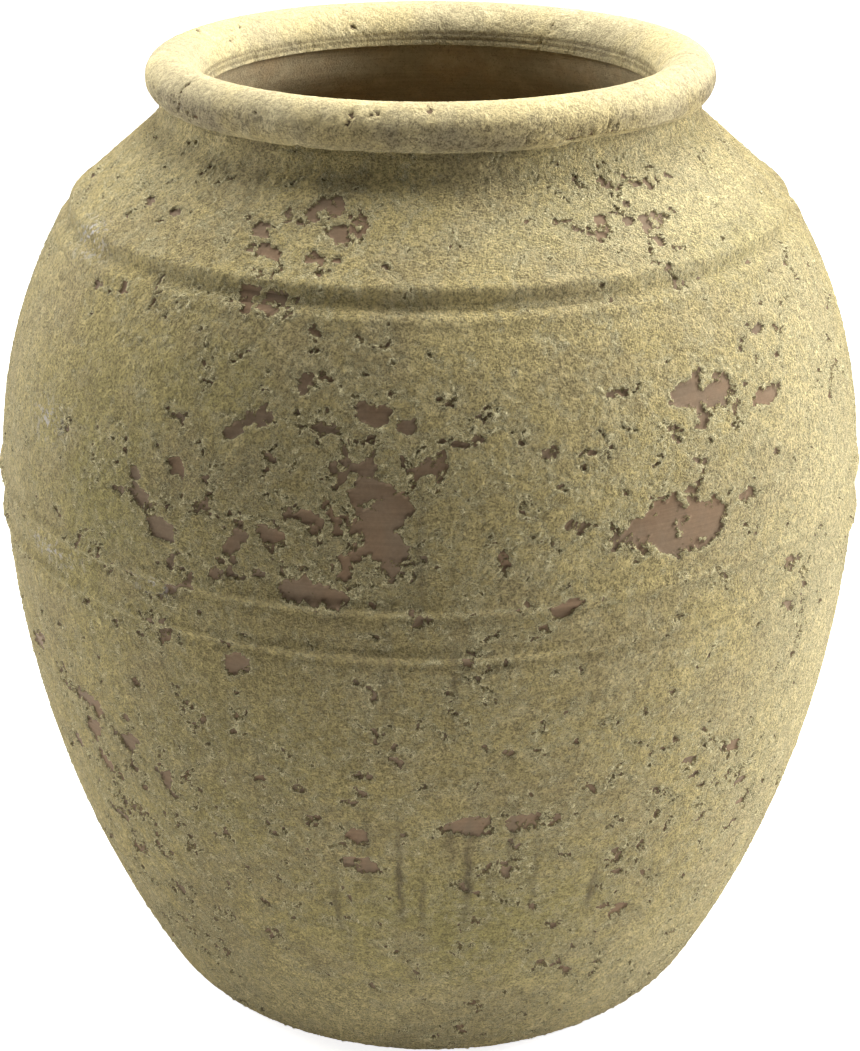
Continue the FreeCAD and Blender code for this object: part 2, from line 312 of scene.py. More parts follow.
# A patch of chips is an azimuth in degrees, 0 at the front and growing to the right, a height in mm, how far the
# chips lie to each side in degrees and up and down in mm, their number, and half the width of one in mm.
FLAKED = [
    (-18, 404, 5, 2, 6, 10), (-26, 394, 4, 4, 4, 5), (-15, 390, 4, 2, 3, 4), (-24, 374, 3, 5, 5, 5),
    (-50, 396, 4, 3, 3, 4), (-50, 365, 4, 5, 4, 4), (55, 396, 1, 1, 1, 4), (30, 398, 8, 3, 4, 3),
    (35, 335, 3, 2, 3, 7), (48, 325, 3, 2, 3, 7), (47, 350, 3, 3, 3, 4), (17, 320, 3, 4, 3, 4),
    (-5, 337, 3, 4, 4, 5), (-5, 302, 3, 20, 10, 5), (-4, 303, 1, 3, 2, 8), (-23, 330, 2, 4, 2, 5),
    (-32, 312, 2, 6, 3, 4), (-39, 298, 2, 5, 3, 5), (-20, 290, 6, 10, 5, 5), (-32, 282, 2, 3, 2, 6),
    (31, 288, 4, 3, 4, 13), (41, 286, 1, 5, 2, 6), (-14, 265, 3, 3, 4, 7), (-26, 267, 2, 2, 2, 5),
    (14, 261, 3, 3, 3, 5), (50, 250, 2, 3, 3, 5), (-23, 227, 2, 5, 3, 7), (-64, 195, 3, 8, 4, 5),
    (-50, 175, 3, 14, 5, 6), (-42, 182, 2, 12, 4, 4), (-60, 150, 3, 8, 4, 5), (-12, 166, 5, 22, 12, 4),
    (-9, 137, 1, 2, 2, 7), (9, 196, 3, 3, 3, 4), (9, 158, 8, 2, 6, 9), (28, 99, 2, 4, 3, 4),
    (74, 120, 3, 8, 3, 4), (42, 160, 9, 20, 5, 3), (112, 300, 12, 20, 12, 6), (150, 215, 8, 8, 7, 8),
    (172, 390, 9, 6, 6, 6), (188, 330, 6, 10, 8, 6), (216, 118, 8, 16, 12, 6), (240, 262, 4, 4, 5, 11),
    (268, 180, 6, 14, 9, 5), (132, 92, 7, 10, 8, 5),
]
# A mark is an azimuth in degrees, a height in mm, half a width and half a length along the surface in mm, and a
# strength.
WORN = [
    (-30, 385, 55, 35, 0.8), (-15, 300, 60, 55, 0.8), (-48, 170, 45, 50, 1), (-12, 165, 45, 60, 1),
    (32, 287, 60, 40, 0.7), (40, 332, 45, 25, 0.8), (35, 400, 45, 15, 0.6), (20, 105, 60, 45, 0.4),
    (50, 215, 30, 60, 0.5), (120, 290, 80, 50, 0.8), (165, 130, 90, 60, 0.8), (210, 330, 70, 40, 0.7),
    (250, 180, 60, 60, 0.9), (290, 260, 40, 70, 0.7),
]
MOSSY = [
    (-45, 290, 60, 70, 0.9), (-30, 345, 40, 30, 0.8), (55, 385, 40, 20, 0.7), (-26, 175, 60, 60, 0.6),
    (3, 100, 80, 45, 0.9), (25, 402, 40, 12, 0.5), (150, 300, 80, 60, 0.8), (220, 200, 70, 80, 0.7),
    (100, 120, 60, 50, 0.6),
]
SALTY = [
    (-62, 380, 14, 8, 1), (-57, 308, 12, 8, 0.7), (-35, 257, 8, 4, 0.7), (-55, 252, 20, 5, 0.7),
    (140, 230, 16, 10, 0.8), (200, 150, 14, 9, 0.7), (265, 350, 12, 7, 0.7),
]
# Darker undercoat tone in broad zones; on the front centre it also stands in for painted shade where little light
# falls.
SHADED_UNDERCOAT = [
    (-10, 260, 75, 90, 0.8), (-25, 200, 60, 60, 0.5), (10, 190, 60, 50, 0.4), (-60, 200, 30, 60, 0.4), (120, 240, 80, 90, 0.6),
    (-140, 200, 80, 90, 0.7),
]
DRIPS = [
    (-8, 140, 1.6, 28, 0.5), (-4, 128, 1.7, 32, 0.9), (-1, 116, 1.5, 22, 0.7), (2.5, 148, 1.7, 18, 0.5), (5, 134, 2, 34, 1.0),
    (8, 120, 1.4, 20, 0.5), (10.5, 150, 1.5, 18, 0.8), (14, 126, 1.6, 26, 0.5), (23, 114, 2.5, 14, 0.9), (-13, 110, 1.6, 20, 0.7), (-1, 285, 2, 30, 0.5),
    (3, 232, 2, 26, 0.5), (-5, 236, 2, 30, 0.5), (92, 150, 2, 24, 0.6), (97, 128, 2, 30, 0.7), (100, 140, 3, 18, 0.5),
    (108, 120, 2, 22, 0.6), (166, 128, 2, 30, 0.6), (171, 140, 2, 18, 0.5), (-145, 124, 2, 30, 0.6), (-139, 142, 2, 20, 0.5),
    (-134, 118, 2, 24, 0.6), (-87, 110, 2, 24, 0.6),
]


# Paler coat: on the right and left sides and the shoulders a painted highlight where the lamps fall, and a paler band
# round the foot.
HIGHLIGHT_AND_PALE_FOOT = [
    (62, 250, 70, 190, 1.0), (50, 400, 75, 40, 1.0), (-72, 300, 45, 120, 0.4), (-60, 410, 50, 30, 0.5), (15, 396, 40, 16, 0.5),
    (-20, 30, 90, 42, 0.5), (40, 40, 70, 50, 0.6), (130, 40, 120, 40, 0.5), (-120, 40, 120, 40, 0.5),
]


def chips(patches):
    """The chips of every patch as marks, in places and sizes drawn with a fixed seed."""
    draw = np.random.default_rng(7)
    marks = []
    for azimuth, height, aside, apart, number, size in patches:
        for _ in range(number):
            turn, rise = draw.uniform(-1, 1, 2)
            wide, tall = size * draw.uniform(0.7, 1.3), size * draw.uniform(0.4, 0.9)
            marks.append((azimuth + aside * turn, height + apart * rise, wide, tall, draw.uniform(0.75, 1)))
    return marks


class Sheet:
    """A turned sheet of the outline, with what the marks above do to each of its points."""

    def __init__(self, points, spacing, columns, soften=0.0):
        self.line, self.along = spaced(points, spacing, soften)
        self.columns = columns
        self.facing = outward(self.line)
        self.points, self.azimuth = turned_grid(self.line, columns)

    def marks(self, marks, edge=1.0, stray=0.0):
        """The strongest mark at each point. Edge flattens each mark and sharpens its border; stray makes it waver."""
        total = np.zeros(self.points.shape[:2])
        rising = slice(int(np.argmax(self.line[:, 1])) + 1)
        for azimuth, height, wide, tall, strength in marks:
            up = np.interp(height * MM, self.line[rising, 1], self.along[rising])
            radius = np.interp(height * MM, self.line[rising, 1], self.line[rising, 0])
            turn = (self.azimuth - math.radians(azimuth) + math.pi) % TURN - math.pi
            bend = stray * np.sin(self.along / (7 * MM) + azimuth) * np.sin(self.along / (3.1 * MM))
            across = (turn[None] * radius - bend[:, None]) / (wide * MM)
            rise = (self.along[:, None] - up) / (tall * MM)
            total = np.maximum(total, strength * np.exp(-((rise**2 + across**2) ** edge)))
        return total

    def facings(self):
        """Outward directions of all points."""
        return turned_grid(self.facing, self.columns)[0]


def wave(azimuth, seed, turns=5):
    """A smooth closed curve round the jar, between about -1 and 1, from a few sines of fixed phase."""
    phase = np.random.default_rng(seed).uniform(0, TURN, turns)
    return sum(np.sin((k + 1) * azimuth + p) / (k + 1) for k, p in enumerate(phase)) / 1.6


def turned_lines(sheet, sizes, detail):
    """The ridges round the belly, the groove under the shoulder's edge and the bead under the rim."""
    total = np.zeros(sheet.points.shape[:2])
    edge = edge_point(sizes)[1]
    lines = [
        (sizes.belly_height + 5.5 * MM, 1.5 * MM, detail.ridge, 3),
        (sizes.belly_height + 1.5 * MM, 1.6 * MM, -0.5 * detail.ridge, 3),
        (sizes.belly_height - 15 * MM, 1.5 * MM, detail.ridge, 8),
        (sizes.belly_height - 19 * MM, 1.6 * MM, -0.5 * detail.ridge, 8),
        (edge - 6.4 * MM, 2.2 * MM, -detail.groove, 5),
        (edge - 10.5 * MM, 1.8 * MM, 0.3 * detail.ridge, 5),
        (edge - 0.6 * MM, 1.5 * MM, 0.4 * detail.ridge, 5),
        (RIM_SEAT - 5.5 * MM, 1.2 * MM, 0.4 * detail.ridge, 2),
    ]
    for height, half, rise, seed in lines:
        level = height + 1.1 * MM * wave(sheet.azimuth, seed)
        strength = rise * (0.95 + 0.25 * wave(sheet.azimuth, seed + 20, 9))
        shape = np.exp(-0.5 * ((sheet.line[:, 1:2] - level[None]) / half) ** 2)
        total += strength[None] * shape
    return total


# ---- node building ----

class Wires:
    """Adds nodes to one tree. Each short call returns the new node's output."""

    def __init__(self, tree):
        self.tree = tree

    def node(self, kind, inputs=None, **settings):
        node = self.tree.nodes.new(kind)
        for name, value in settings.items():
            setattr(node, name, value)
        for key, value in (inputs or {}).items():
            if isinstance(value, bpy.types.NodeSocket):
                self.tree.links.new(value, node.inputs[key])
            else:
                node.inputs[key].default_value = value
        return node

    def math(self, operation, *values, clamp=False):
        inputs = dict(enumerate(values))
        return self.node("ShaderNodeMath", inputs, operation=operation, use_clamp=clamp).outputs[0]

    def scale(self, vector, by):
        inputs = {0: vector, 1: by}
        return self.node("ShaderNodeVectorMath", inputs, operation="MULTIPLY").outputs[0]

    def noise(self, place, scale, detail, roughness=0.55, distortion=0.0):
        inputs = {
            "Vector": place, "Scale": scale, "Detail": detail, "Roughness": roughness, "Distortion": distortion
        }
        return self.node("ShaderNodeTexNoise", inputs).outputs[0]

    def cells(self, place, scale):
        """A value for each of many small cells."""
        return self.node("ShaderNodeTexVoronoi", {"Vector": place, "Scale": scale}).outputs["Color"]

    def ramp(self, value, low, high, to_low=0.0, to_high=1.0):
        """A smooth step between two values."""
        inputs = {"Value": value, "From Min": low, "From Max": high, "To Min": to_low, "To Max": to_high}
        return self.node("ShaderNodeMapRange", inputs, interpolation_type="SMOOTHSTEP").outputs[0]

    def mix(self, share, first, second, blend="MIX"):
        inputs = {0: share, 6: first, 7: second}
        return self.node("ShaderNodeMix", inputs, data_type="RGBA", blend_type=blend).outputs[2]


def sum_of(wires, *values):
    total = values[0]
    for value in values[1:]:
        total = wires.math("ADD", total, value)
    return total


def flaking(wires, place, bare):
    """Where the coat has gone. The field is high where it has; each layer goes above its own level."""
    gather = wires.noise(place, 13.0, 2.0, 0.5)
    broad = wires.noise(place, 95.0, 3.0, 0.6, 0.5)
    uneven = wires.node("ShaderNodeTexNoise", {"Vector": place, "Scale": 260.0, "Detail": 2.0}).outputs["Color"]
    shift = wires.node("ShaderNodeVectorMath", {0: uneven, "Scale": 0.004}, operation="SCALE").outputs[0]
    ragged = wires.noise(place, 330.0, 5.0, 0.66)
    plates = wires.cells(wires.node("ShaderNodeVectorMath", {0: place, 1: shift}, operation="ADD").outputs[0], 300.0)
    field = wires.math("MULTIPLY_ADD", broad, 0.62, wires.math("MULTIPLY", ragged, 0.28))
    field = wires.math("MULTIPLY_ADD", plates, 0.10, field)
    field = wires.math("MULTIPLY_ADD", wires.math("SUBTRACT", gather, 0.5), 0.25, field)
    return wires.math("ADD", field, bare)


SCALE_LEVELS = 0.505, 0.53, 0.56
TOP_LEVEL, CLAY_LEVEL = 0.592, 0.618


def scaling(wires, field, sharp):
    """How many of the thin skins above the top coat's level have gone, from 0 to 1."""
    steps = [wires.ramp(field, level - sharp, level + sharp) for level in SCALE_LEVELS]
    return wires.math("DIVIDE", sum_of(wires, *steps), float(len(steps)))


def shader_group(name, inputs, outputs):
    """An empty shader group with its inputs and outputs: (name, socket type[, default])."""
    tree = bpy.data.node_groups.new(name, "ShaderNodeTree")
    for label, kind, *default in inputs:
        socket = tree.interface.new_socket(label, in_out="INPUT", socket_type=kind)
        if default:
            socket.default_value = default[0]
    for label, kind in outputs:
        tree.interface.new_socket(label, in_out="OUTPUT", socket_type=kind)
    return tree, tree.nodes.new("NodeGroupInput").outputs, tree.nodes.new("NodeGroupOutput").inputs


def place_group(wires, name, inputs):
    """A group's node in another tree, and its outputs."""
    node = wires.tree.nodes.new("ShaderNodeGroup")
    node.node_tree = bpy.data.node_groups[name]
    for key, value in inputs.items():
        if isinstance(value, bpy.types.NodeSocket):
            wires.tree.links.new(value, node.inputs[key])
        else:
            node.inputs[key].default_value = value
    return node.outputs


FLOAT, VECTOR, COLOUR = "NodeSocketFloat", "NodeSocketVector", "NodeSocketColor"


def flaking_group():
    """Masks of the flaked coat: thin skins, undercoat, bare clay, curled lips and the shade under them."""
    tree, given, result = shader_group(
        "flaking",
        [("Place", VECTOR), ("Bare", FLOAT, 0.0)],
        [("Scaled", FLOAT), ("Top Lost", FLOAT), ("Clay", FLOAT), ("Lip", FLOAT), ("Shade", FLOAT)],
    )
    wires = Wires(tree)
    field = flaking(wires, given["Place"], given["Bare"])
    scaled = scaling(wires, field, 0.0025)
    top = wires.ramp(field, TOP_LEVEL - 0.003, TOP_LEVEL + 0.003)
    clay = wires.ramp(field, CLAY_LEVEL - 0.003, CLAY_LEVEL + 0.003)
    lips = []
    for level, width in ((SCALE_LEVELS[0], 0.009), (SCALE_LEVELS[1], 0.011), (SCALE_LEVELS[2], 0.014), (TOP_LEVEL, 0.03)):
        rising = wires.ramp(field, level - width, level - 0.35 * width)
        lips.append(wires.math("MULTIPLY", rising, wires.ramp(field, level + 0.001, level - 0.001)))
    lip = wires.math("MULTIPLY_ADD", sum_of(wires, *lips[:3]), 0.8, lips[3])
    deep = wires.ramp(field, CLAY_LEVEL, CLAY_LEVEL + 0.02, 1.0, 0.0)
    shade = wires.math("MULTIPLY", clay, deep)
    for name, value in (("Scaled", scaled), ("Top Lost", top), ("Clay", clay), ("Lip", lip), ("Shade", shade)):
        tree.links.new(value, result[name])


def grain_group():
    """Grit and pits of a mineral surface: a height between 0 and 1, pits, crests and a mottle."""
    tree, given, result = shader_group(
        "mineral_grain",
        [("Place", VECTOR), ("Scale", FLOAT, 1.0)],
        [("Height", FLOAT), ("Pits", FLOAT), ("Crests", FLOAT), ("Mottle", FLOAT)],
    )
    wires = Wires(tree)
    place = wires.scale(given["Place"], given["Scale"])
    fine = wires.noise(place, 1150.0, 3.0, 0.75)
    grit = wires.noise(place, 520.0, 3.0, 0.65)
    lumps = wires.noise(place, 210.0, 2.0, 0.5)
    height = sum_of(
        wires, wires.math("MULTIPLY", fine, 0.56), wires.math("MULTIPLY", grit, 0.32), wires.math("MULTIPLY", lumps, 0.12)
    )
    tree.links.new(wires.ramp(height, 0.34, 0.66), result["Height"])
    tree.links.new(wires.ramp(height, 0.465, 0.415), result["Pits"])
    tree.links.new(wires.ramp(height, 0.535, 0.60), result["Crests"])
    tree.links.new(wires.noise(place, 75.0, 5.0, 0.72), result["Mottle"])


def clay_group():
    """Bare fired clay, drawn out in fine level lines by the wheel."""
    tree, given, result = shader_group(
        "fired_clay",
        [("Place", VECTOR), ("Colour", COLOUR)],
        [("Colour", COLOUR), ("Height", FLOAT)],
    )
    wires = Wires(tree)
    flat = wires.scale(given["Place"], (30.0, 30.0, 900.0))
    lines = wires.noise(flat, 1.0, 3.0, 0.6)
    broad = wires.noise(given["Place"], 38.0, 3.0, 0.6)
    fine = wires.noise(given["Place"], 700.0, 3.0, 0.7)
    warm = wires.mix(wires.ramp(broad, 0.35, 0.65), given["Colour"], (1.06, 0.97, 0.90, 1.0), "MULTIPLY")
    lit = wires.math("MULTIPLY_ADD", lines, 0.5, wires.math("MULTIPLY_ADD", fine, 0.5, 0.45))
    grey = wires.node("ShaderNodeCombineColor", {0: lit, 1: lit, 2: lit}).outputs[0]
    tree.links.new(wires.mix(1.0, warm, grey, "MULTIPLY"), result["Colour"])
    height = wires.math("MULTIPLY_ADD", lines, 0.6, wires.math("MULTIPLY", fine, 0.4))
    tree.links.new(height, result["Height"])


def new_material(name):
    """A material with only its shader and output, and a builder for the rest."""
    material = bpy.data.materials.new(name)
    material.use_nodes = True
    tree = material.node_tree
    tree.nodes.clear()
    wires = Wires(tree)
    shader = wires.node("ShaderNodeBsdfPrincipled")
    shader.inputs["Specular IOR Level"].default_value = 0.22
    output = wires.node("ShaderNodeOutputMaterial")
    tree.links.new(shader.outputs[0], output.inputs[0])
    return material, wires, shader


def finish_material(wires, shader, tint, rough, height, depth):
    """Joins a colour, a roughness and a height in mm to the shader."""
    bump = wires.node("ShaderNodeBump", {"Height": height})
    bump.inputs["Strength"].default_value = 1.0
    bump.inputs["Distance"].default_value = depth
    wires.tree.links.new(tint, shader.inputs["Base Color"])
    wires.tree.links.new(rough, shader.inputs["Roughness"])
    wires.tree.links.new(bump.outputs[0], shader.inputs["Normal"])


def attribute(wires, name, output="Fac"):
    return wires.node("ShaderNodeAttribute", attribute_name=name).outputs[output]


def opaque(rgb):
    return (*rgb, 1.0)


def shade_hollows_light_crests(wires, tint, height, low, high):
    """The tint with painted shade in its hollows and a painted highlight on its crests, by a height."""
    lit = wires.ramp(height, 0.0, 1.0, low, high)
    grey = wires.node("ShaderNodeCombineColor", {0: lit, 1: lit, 2: lit}).outputs[0]
    return wires.mix(1.0, tint, grey, "MULTIPLY")


def flaking_coat(tones):
    """The body's coat: khaki plaster, gritty and flaked, with moss, drips and a bloom of salts."""
    material, wires, shader = new_material("flaking_coat")
    place = attribute(wires, "rest", "Vector")
    flakes = place_group(wires, "flaking", {"Place": place, "Bare": attribute(wires, "bare")})
    grain = place_group(wires, "mineral_grain", {"Place": place})
    clay = place_group(wires, "fired_clay", {"Place": place, "Colour": opaque(tones.clay)})
    clouds = wires.noise(place, 24.0, 5.0, 0.62)
    tint = wires.mix(wires.ramp(clouds, 0.42, 0.60), opaque(tones.straw), opaque(tones.sand))
    tint = wires.mix(wires.ramp(grain["Mottle"], 0.50, 0.68, 0.0, 0.28), tint, opaque(tones.pale_and_highlight))
    tint = wires.mix(wires.ramp(grain["Mottle"], 0.50, 0.34, 0.0, 0.32), tint, opaque(tones.undercoat))
    growth = wires.math("MULTIPLY", attribute(wires, "moss"), wires.ramp(clouds, 0.62, 0.42, 0.15, 0.6))
    tint = wires.mix(growth, tint, opaque(tones.moss))
    # Painted highlight on the lit sides and shoulders, and a paler band round the foot.
    tint = wires.mix(wires.math("MULTIPLY", attribute(wires, "highlight_and_pale_foot"), 0.55), tint, opaque(tones.pale_and_highlight))
    tint = wires.mix(wires.math("MULTIPLY", flakes["Scaled"], 0.32), tint, opaque(tones.undercoat))
    # Painted shade on the front centre, mixed with undercoat tone.
    shaded_undercoat = wires.math("MULTIPLY", attribute(wires, "shaded_undercoat"), wires.ramp(clouds, 0.58, 0.40, 0.35, 0.75))
    tint = wires.mix(shaded_undercoat, tint, opaque(tones.undercoat))
    tint = wires.mix(wires.math("MULTIPLY", flakes["Top Lost"], 0.75), tint, opaque(tones.undercoat))
    # Painted shade in the grain's hollows and painted highlight on its crests.
    tint = shade_hollows_light_crests(wires, tint, grain["Height"], 0.58, 1.38)
    # Painted shade in the grain's pits.
    tint = wires.mix(wires.math("MULTIPLY", grain["Pits"], 0.35), tint, (0.11, 0.085, 0.045, 1.0))
    tint = wires.mix(wires.math("MULTIPLY", flakes["Lip"], 0.85, clamp=True), tint, opaque(tones.lip))
    tint = wires.mix(flakes["Clay"], tint, clay["Colour"])
    tint = wires.mix(wires.math("MULTIPLY", flakes["Shade"], 0.16), tint, (0.09, 0.065, 0.04, 1.0))
    streak = wires.ramp(wires.noise(wires.scale(place, (420.0, 420.0, 26.0)), 1.0, 2.0), 0.42, 0.6)
    damp = wires.math("MULTIPLY", attribute(wires, "drip"), wires.math("MULTIPLY_ADD", streak, 0.35, 0.5))
    tint = wires.mix(damp, tint, (0.15, 0.115, 0.07, 1.0))
    bloom = wires.ramp(wires.noise(place, 330.0, 4.0, 0.7), 0.53, 0.58)
    tint = wires.mix(wires.math("MULTIPLY", attribute(wires, "salt"), bloom), tint, opaque(tones.salt))
    rough = wires.ramp(flakes["Clay"], 0.0, 1.0, 0.95, 0.8)
    coat_share = wires.math("SUBTRACT", 1.0, flakes["Clay"])
    drop = wires.math("MULTIPLY_ADD", flakes["Scaled"], -0.7, wires.math("MULTIPLY", flakes["Top Lost"], -0.45))
    level = sum_of(
        wires,
        wires.math("MULTIPLY", wires.math("MULTIPLY", grain["Height"], 1.45), coat_share),
        wires.math("MULTIPLY_ADD", flakes["Clay"], -0.4, drop),
        wires.math("MULTIPLY", flakes["Lip"], 0.35),
        wires.math("MULTIPLY", clay["Height"], 0.12),
    )
    finish_material(wires, shader, tint, rough, level, MM)
    return material


def rubbed_rim(tones):
    """The rim's finer coat: sandy, rubbed smooth on top and pitted below, with a painted highlight on top and painted
    shade on the pitted front.
    """
    material, wires, shader = new_material("rubbed_rim")
    place = attribute(wires, "rest", "Vector")
    flakes = place_group(wires, "flaking", {"Place": place, "Bare": attribute(wires, "bare")})
    grain = place_group(wires, "mineral_grain", {"Place": place, "Scale": 0.95})
    clay = place_group(wires, "fired_clay", {"Place": place, "Colour": opaque(tones.clay)})
    clouds = wires.noise(place, 26.0, 4.0, 0.6)
    tint = wires.mix(wires.ramp(clouds, 0.40, 0.62), opaque(tones.rim), opaque(tones.sand))
    tint = wires.mix(wires.ramp(grain["Mottle"], 0.52, 0.68, 0.0, 0.4), tint, opaque(tones.pale_and_highlight))
    worn_and_shaded = attribute(wires, "worn_and_shaded")
    # Painted highlight: the rim's top is paler than the pitted front band, which is left darker as painted shade.
    tint = wires.mix(wires.ramp(worn_and_shaded, 0.0, 0.75, 0.26, 0.0), tint, opaque(tones.pale_and_highlight))
    # Painted shade and highlight by the grain's height, stronger on the pitted front.
    smooth = shade_hollows_light_crests(wires, tint, grain["Height"], 0.72, 1.24)
    tint = wires.mix(wires.ramp(worn_and_shaded, 0.1, 0.7), smooth, shade_hollows_light_crests(wires, tint, grain["Height"], 0.58, 1.34))
    # Painted shade in the grain's pits, deeper on the pitted front.
    pits = wires.math("MULTIPLY", grain["Pits"], wires.ramp(worn_and_shaded, 0.1, 0.8, 0.08, 0.65))
    tint = wires.mix(pits, tint, (0.14, 0.105, 0.055, 1.0))
    tint = wires.mix(flakes["Clay"], tint, clay["Colour"])
    tint = wires.mix(wires.math("MULTIPLY", attribute(wires, "dark"), 0.7), tint, (0.12, 0.085, 0.05, 1.0))
    rough = wires.ramp(grain["Height"], 0.0, 1.0, 0.82, 0.95)
    grit = wires.math("MULTIPLY", grain["Height"], wires.ramp(worn_and_shaded, 0.0, 0.7, 0.25, 0.7))
    level = wires.math("ADD", grit, wires.math("MULTIPLY", flakes["Clay"], -0.4))
    finish_material(wires, shader, tint, rough, level, MM)
    return material


def bare_clay(name, tint_of):
    """Uncoated clay, dusted with what has settled on it."""
    material, wires, shader = new_material(name)
    place = wires.node("ShaderNodeTexCoord").outputs["Object"]
    clay = place_group(wires, "fired_clay", {"Place": place, "Colour": opaque(tint_of)})
    grain = place_group(wires, "mineral_grain", {"Place": place})
    dust = wires.ramp(grain["Mottle"], 0.48, 0.7, 0.0, 0.4)
    pale = tuple(min(1.0, 1.6 * value) for value in tint_of)
    tint = wires.mix(dust, clay["Colour"], opaque(pale))
    # Painted shade in the grain's pits.
    tint = wires.mix(wires.math("MULTIPLY", grain["Pits"], 0.5), tint, opaque([0.45 * v for v in tint_of]))
    rough = wires.ramp(grain["Height"], 0.0, 1.0, 0.8, 0.95)
    level = wires.math("MULTIPLY_ADD", clay["Height"], 0.5, wires.math("MULTIPLY", grain["Height"], 0.4))
    finish_material(wires, shader, tint, rough, level, 0.6 * MM)
    return material


def get_material(name, tones):
    """A finish of the jar, made on first use."""
    makers = {
        "flaking_coat": lambda: flaking_coat(tones),
        "rubbed_rim": lambda: rubbed_rim(tones),
        "fired_clay": lambda: bare_clay("fired_clay", tones.clay),
        "thrown_inside": lambda: bare_clay("thrown_inside", tones.inside),
    }
    for group, make in (("flaking", flaking_group), ("mineral_grain", grain_group), ("fired_clay", clay_group)):
        if group not in bpy.data.node_groups:
            make()
    return bpy.data.materials.get(name) or makers[name]()


# ---- relief by geometry nodes ----

def relief_tree(name, inputs, height_of):
    """A geometry tree that moves each point along its facing by a height, and sets the material."""
    if name in bpy.data.node_groups:
        return bpy.data.node_groups[name]
    tree = bpy.data.node_groups.new(name, "GeometryNodeTree")
    sockets = [("Geometry", "NodeSocketGeometry"), ("Material", "NodeSocketMaterial")]
    for label, kind in sockets + [(label, FLOAT) for label in inputs]:
        tree.interface.new_socket(label, in_out="INPUT", socket_type=kind)
    tree.interface.new_socket("Geometry", in_out="OUTPUT", socket_type="NodeSocketGeometry")
    wires = Wires(tree)
    given = wires.node("NodeGroupInput").outputs
    height = height_of(wires, given)
    facing = named(wires, "facing", "FLOAT_VECTOR")
    offset = wires.node("ShaderNodeVectorMath", {0: facing, "Scale": height}, operation="SCALE").outputs[0]
    moved = wires.node("GeometryNodeSetPosition", {"Geometry": given["Geometry"], "Offset": offset})
    real = wires.node("GeometryNodeRealizeInstances", {"Geometry": moved.outputs[0]})
    painted = wires.node("GeometryNodeSetMaterial", {"Geometry": real.outputs[0], "Material": given["Material"]})
    result = wires.node("NodeGroupOutput")
    tree.links.new(painted.outputs[0], result.inputs[0])
    return tree


def named(wires, name, kind="FLOAT"):
    """The value of a stored attribute, in a geometry tree."""
    return wires.node("GeometryNodeInputNamedAttribute", {"Name": name}, data_type=kind).outputs["Attribute"]


def coat_height(wires, given):
    """Wobble, turned lines, lumps and grain, less the layers that have flaked off, plus their curled lips."""
    place = named(wires, "rest", "FLOAT_VECTOR")
    field = flaking(wires, place, named(wires, "bare"))
    top = wires.ramp(field, TOP_LEVEL - 0.006, TOP_LEVEL + 0.008)
    clay = wires.ramp(field, CLAY_LEVEL - 0.008, CLAY_LEVEL + 0.008)
    lip = wires.math("MULTIPLY", wires.ramp(field, TOP_LEVEL - 0.035, TOP_LEVEL - 0.008), wires.math("SUBTRACT", 1.0, top))
    lost = sum_of(
        wires,
        wires.math("MULTIPLY", scaling(wires, field, 0.006), 0.35),
        wires.math("MULTIPLY", top, 0.25),
        wires.math("MULTIPLY", clay, 0.40),
    )
    kept = wires.math("SUBTRACT", 1.0, clay)
    lumps = centred(wires, wires.noise(place, 110.0, 3.0, 0.6), 0.6 * MM)
    grain = wires.math("MULTIPLY", centred(wires, wires.noise(place, 400.0, 3.0, 0.7), 1.8), given["Grain"])
    wobble = wires.math("MULTIPLY", centred(wires, wires.noise(place, 6.0, 1.0), 2.0), given["Wobble"])
    rough = wires.math("MULTIPLY", wires.math("ADD", lumps, grain), wires.math("MULTIPLY_ADD", kept, 0.85, 0.15))
    return sum_of(
        wires,
        rough,
        wobble,
        named(wires, "turned"),
        wires.math("MULTIPLY", lip, given["Lip"]),
        wires.math("MULTIPLY", lost, wires.math("MULTIPLY", given["Coat"], -1.0)),
    )


def centred(wires, value, width):
    """A noise moved to lie about zero."""
    return wires.math("MULTIPLY", wires.math("SUBTRACT", value, 0.5), width)


def clay_height(wires, given):
    """The rings that fingers leave in thrown clay, over a gentle unevenness."""
    place = named(wires, "rest", "FLOAT_VECTOR")
    flat = wires.scale(place, (6.0, 6.0, 150.0))
    rings = wires.math("MULTIPLY", centred(wires, wires.noise(flat, 1.0, 2.0, 0.5), 2.0), given["Rings"])
    uneven = wires.math("MULTIPLY", centred(wires, wires.noise(place, 40.0, 3.0, 0.6), 2.0), given["Uneven"])
    return wires.math("MULTIPLY", wires.math("ADD", rings, uneven), named(wires, "shown"))


def relieved(piece, tree, material, values):
    """The piece's mesh after its relief, with the modifier gone."""
    modifier = piece.modifiers.new("relief", "NODES")
    modifier.node_group = tree
    for socket in tree.interface.items_tree:
        if socket.in_out == "INPUT" and socket.name in values:
            modifier[socket.identifier] = values[socket.name]
        if socket.in_out == "INPUT" and socket.name == "Material":
            modifier[socket.identifier] = material
    bpy.context.view_layer.update()
    graph = bpy.context.evaluated_depsgraph_get()
    mesh = bpy.data.meshes.new_from_object(piece.evaluated_get(graph), preserve_all_data_layers=True, depsgraph=graph)
    piece.modifiers.clear()
    return mesh


# ---- the pieces ----

def settings():
    scene = bpy.context.scene
    return scene.jar_sizes, scene.jar_detail, scene.jar_colours


def grid_normals(points):
    """Outward directions of the points of a turned grid after its relief."""
    round_step = np.roll(points, -1, axis=1) - np.roll(points, 1, axis=1)
    up_step = np.gradient(points, axis=0)
    normals = np.cross(round_step, up_step)
    return normals / np.maximum(np.linalg.norm(normals, axis=2, keepdims=True), 1e-12)


